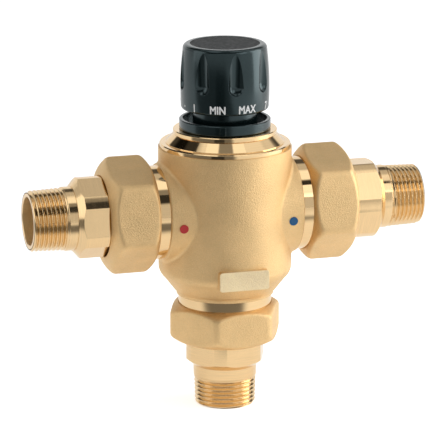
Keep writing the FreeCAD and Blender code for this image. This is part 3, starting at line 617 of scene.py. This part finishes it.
def dot_on_knob(name, azimuth):
    bm = bmesh.new()
    bmesh.ops.create_circle(bm, cap_ends=True, radius=DOT_R, segments=DOT_SIDES)
    wrap_on_knob(name, new_mesh(name, bm), azimuth, 1.0)


def wrap_on_knob(name, mesh, azimuth, squeeze):
    """Bend a flat mesh onto the knob's side, just proud of it."""
    for vertex in mesh.vertices:
        around = math.radians(azimuth) + vertex.co.x * squeeze / PRINT_R
        height = CENTRE.z + LETTER_Z + vertex.co.y
        out = Vector((math.sin(around), -math.cos(around), 0.0))
        start = Vector((0.0, 0.0, height)) + out * 2 * PRINT_R
        hit = KNOB_SURFACE.ray_cast(start, -out)[0]
        vertex.co = hit + out * (LETTER_PROUD + vertex.co.z)
    mesh.materials.clear()
    mesh.materials.append(FINISHES["marking_white"])
    piece = put(name, mesh)
    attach(piece, "dial")


def dial_print():
    for number in range(1, LAST_NUMBER + 1):
        print_on_knob(f"mark_{number}", str(number), FIRST_MARK - MARK_STEP * (number - 1))
        if number < LAST_NUMBER:
            dot_on_knob(f"mark_dot_{number}", FIRST_MARK - MARK_STEP * (number - 0.5))
    print_on_knob("mark_min", "MIN", MIN_MARK)
    print_on_knob("mark_max", "MAX", MAX_MARK)


# ---- camera, light and floor ----
def facing(azimuth, elevation, distance, aim=CENTRE, right_by=0.0, up_by=0.0):
    """Matrix of something that looks at a point from the given side, moved across its view."""
    a, e = math.radians(azimuth), math.radians(elevation)
    back = Vector((math.sin(a) * math.cos(e), -math.cos(a) * math.cos(e), math.sin(e)))
    right = Vector((math.cos(a), math.sin(a), 0.0))
    up = back.cross(right)
    turn = Matrix((right, up, back)).transposed().to_4x4()
    return Matrix.Translation(aim + right * right_by + up * up_by + back * distance) @ turn


def camera():
    lens = bpy.data.cameras.new("camera")
    lens.sensor_width = SENSOR_WIDTH
    lens.lens = SENSOR_WIDTH * VIEW_DISTANCE / VIEW_WIDTH
    eye = put("camera", lens)
    eye.matrix_world = facing(VIEW_AZIMUTH, VIEW_ELEVATION, VIEW_DISTANCE, right_by=AIM_RIGHT, up_by=AIM_UP)
    bpy.context.scene.camera = eye


def softbox(name, azimuth, elevation, distance, size, power):
    """An area light that faces the valve."""
    light = bpy.data.lights.new(name, "AREA")
    light.shape = "RECTANGLE"
    light.size, light.size_y = size
    light.energy = power
    put(name, light).matrix_world = facing(azimuth, elevation, distance)


def world():
    """A studio of light and dark bands for what mirrors it; diffuse light comes in softer."""
    made = bpy.data.worlds.new("studio")
    made.use_nodes = True
    made.node_tree.nodes.clear()
    w = Nodes(made.node_tree)

    way = w.node("SeparateXYZ", {0: w.node("TexCoord").outputs["Generated"]})
    x, y, z = (way.outputs[axis] for axis in "XYZ")
    tilt = w.compute("ARCTAN2", z, w.product(y, -1.0))
    low, high = math.radians(TILT_LEVELS[0][0]), math.radians(TILT_LEVELS[-1][0])
    walls = w.node("ValToRGB", {"Fac": w.ramp(tilt, low, high, kind="LINEAR")})
    stops = walls.color_ramp.elements
    while len(stops) < len(TILT_LEVELS):
        stops.new(0.5)
    for stop, (degrees, level) in zip(stops, TILT_LEVELS):
        stop.position = (math.radians(degrees) - low) / (high - low)
        stop.color = (level / TOP_LEVEL, level / TOP_LEVEL, level / TOP_LEVEL, 1.0)

    a = math.radians(VIEW_AZIMUTH)
    across = w.compute("ADD", w.product(x, math.cos(a)), w.product(y, math.sin(a)))
    gap = w.product(w.ramp(across, *GAP_LEFT), w.ramp(across, *GAP_RIGHT), w.ramp(z, *GAP_HIGH),
                    w.ramp(tilt, *GAP_TILT))
    strip = w.product(w.ramp(across, *STRIP_OUT), w.ramp(across, *STRIP_IN), w.ramp(z, *STRIP_HIGH))
    level = w.product(walls.outputs["Color"], TOP_LEVEL, w.ramp(gap, 0.0, 1.0, 1.0, GAP_LEVEL),
                      w.ramp(strip, 0.0, 1.0, 1.0, STRIP_LEVEL))
    for edges, wall_level in ((SIDE_LEFT, LEFT_LEVEL), (SIDE_RIGHT, RIGHT_LEVEL)):
        level = w.mix(w.ramp(across, *edges), level, wall_level)

    path = w.node("LightPath").outputs
    seen = w.compute("MAXIMUM", path["Is Glossy Ray"], path["Is Transmission Ray"])
    strength = w.mix(path["Is Camera Ray"], w.mix(seen, DIFFUSE_LEVEL, level), 1.0)
    ground = w.node("Background", {"Color": (1.0, 1.0, 1.0, 1.0), "Strength": strength})
    w.node("OutputWorld", {0: ground.outputs[0]})
    bpy.context.scene.world = made


def floor():
    """White, with a dim stretch in front of the valve, below the picture, for the metal to mirror."""
    bm = bmesh.new()
    bmesh.ops.create_grid(bm, x_segments=1, y_segments=1, size=FLOOR_HALF_SIZE)
    piece = put("floor", new_mesh("floor", bm))
    white = (FLOOR_ALBEDO, FLOOR_ALBEDO, FLOOR_ALBEDO)
    f = Finish("white_floor", white, 0.0, FLOOR_ROUGHNESS, Emission_Color=(1.0, 1.0, 1.0, 1.0))
    turned = f.node("VectorRotate", {"Vector": f.node("TexCoord").outputs["Object"],
                                     "Angle": math.radians(-VIEW_AZIMUTH)}, rotation_type="Z_AXIS")
    place = f.node("SeparateXYZ", {0: turned.outputs[0]})
    x, y = place.outputs["X"], place.outputs["Y"]
    dim = f.product(f.ramp(x, *DIM_RIGHT), f.ramp(y, *DIM_FRONT))
    bearing = f.compute("DEGREES", f.compute("ARCTAN2", x, f.product(y, -1.0)))
    streak = f.product(f.ramp(bearing, *STREAK_LEFT), f.ramp(bearing, *STREAK_RIGHT),
                       f.ramp(y, *STREAK_FRONT))

    path = f.node("LightPath").outputs
    mirrored = f.mix(path["Is Glossy Ray"], 0.0, f.ramp(dim, 0.0, 1.0, GLOSSY_GLOW, 0.0))
    f.link(f.mix(path["Is Camera Ray"], mirrored, FLOOR_GLOW), "Emission Strength")
    f.link(f.mix_colours(f.product(path["Is Glossy Ray"], dim), (*white, 1.0),
                         f.ramp(streak, 0.0, 1.0, DIM_LEVEL, STREAK_LEVEL)), "Base Color")
    piece.data.materials.append(f.material)


def studio():
    bpy.context.scene.view_settings.view_transform = "Standard"
    world()
    floor()
    for name, lamp in LAMPS.items():
        softbox(name, *lamp)


dress_cad()
finish_casting()
for port_name in PORTS:
    tailpiece(port_name)
    union_nut(port_name)
dial_print()
studio()
camera()
